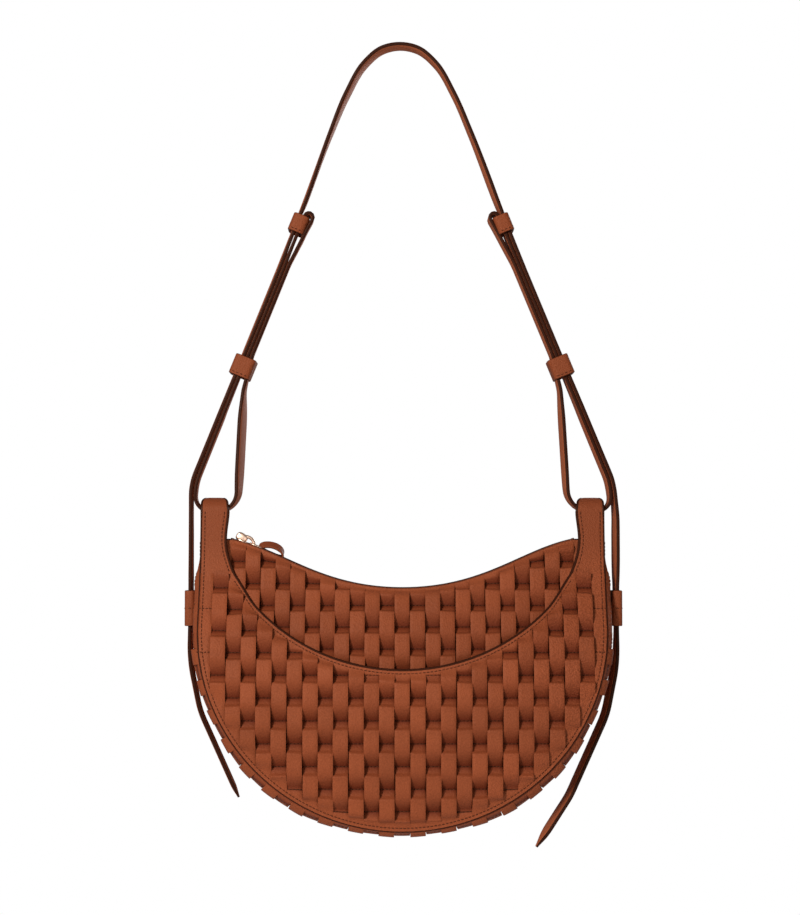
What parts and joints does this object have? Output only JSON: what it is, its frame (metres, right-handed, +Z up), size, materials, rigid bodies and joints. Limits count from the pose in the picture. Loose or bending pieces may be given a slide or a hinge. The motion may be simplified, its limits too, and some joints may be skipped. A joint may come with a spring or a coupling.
{
  "type": "half moon shoulder bag",
  "caption": "Half moon shoulder bag of woven leather strips with a scalloped front pocket, a curved zip and an adjustable strap with sliding keepers",
  "frame": {"origin": "underside of the strap at the top of its arch, where it rests on a hook or shoulder", "axes": "+X to the right seen from the front, the front faces -Y, +Z up along the hanging bag"},
  "size_m": [0.2808, 0.0706, 0.5329],
  "materials": {
    "strap_leather": "smooth leather with dark painted edges",
    "panel_leather": "grained leather, woven of gathered strips",
    "binding_leather": "dark edge binding",
    "lining_cloth": "plain woven cloth",
    "board": "stiff board",
    "zip_tape": "ribbed tape",
    "zip_metal": "polished pale rose gold plating",
    "puller_leather": "smooth leather"
  },
  "bodies": {
    "strap": {"main_strap": "strap_leather", "left_loop_strap": "strap_leather", "right_loop_strap": "strap_leather", "left_upper_keeper": "strap_leather", "right_upper_keeper": "strap_leather"},
    "bag": {"front_overlay_panel": "panel_leather", "front_upper_panel": "panel_leather", "back_panel": "panel_leather", "gusset_band": "panel_leather", "left_tab_fold": "panel_leather", "right_tab_fold": "panel_leather", "front_edge_binding": "binding_leather", "back_edge_binding": "binding_leather", "lining_bag": "lining_cloth", "base_board": "board", "zip_tape_front": "zip_tape", "zip_tape_back": "zip_tape", "zip_teeth_front": "zip_metal", "zip_teeth_back": "zip_metal", "zip_end_stop": "zip_metal", "left_side_keeper": "strap_leather", "right_side_keeper": "strap_leather", "left_strap_end": "strap_leather", "right_strap_end": "strap_leather"},
    "left_keeper": {"left_lower_keeper": "strap_leather"},
    "right_keeper": {"right_lower_keeper": "strap_leather"},
    "zip_slider": {"slider_body": "zip_metal"},
    "zip_pull": {"pull_ring": "zip_metal", "leather_puller": "puller_leather"},
    "left_free_end": {"left_tail": "strap_leather"},
    "right_free_end": {"right_tail": "strap_leather"}
  },
  "joints": [
    {"name": "bag_swing", "type": "hinge", "parent": "strap", "child": "bag", "pos_m": [0, 0, -0.303], "axis": [1, 0, 0], "range_deg": [-80, 80]},
    {"name": "left_keeper_slide", "type": "slide", "parent": "strap", "child": "left_keeper", "axis": [0.3772, 0, 0.9261], "range_m": [0, 0.055]},
    {"name": "right_keeper_slide", "type": "slide", "parent": "strap", "child": "right_keeper", "axis": [-0.3772, 0, 0.9261], "range_m": [0, 0.055]},
    {"name": "zip_travel", "type": "hinge", "parent": "bag", "child": "zip_slider", "pos_m": [0, 0, -0.16022], "axis": [0, -1, 0], "range_deg": [0, 60], "deforming": ["zip_tape_front", "zip_tape_back", "zip_teeth_front", "zip_teeth_back"]},
    {"name": "zip_pull_swing", "type": "hinge", "parent": "zip_slider", "child": "zip_pull", "pos_m": [-0.09861, 0, -0.3236], "axis": [0, -1, 0], "range_deg": [0, 120]},
    {"name": "left_tail_bend", "type": "hinge", "parent": "bag", "child": "left_free_end", "pos_m": [-0.1372, 0, -0.379], "axis": [0, 1, 0], "range_deg": [0, 35], "stiffness_Nm_per_rad": 0.01, "springref_deg": -8.59},
    {"name": "right_tail_bend", "type": "hinge", "parent": "bag", "child": "right_free_end", "pos_m": [0.1372, 0, -0.379], "axis": [0, -1, 0], "range_deg": [0, 35], "stiffness_Nm_per_rad": 0.01, "springref_deg": -8.59}
  ]
}
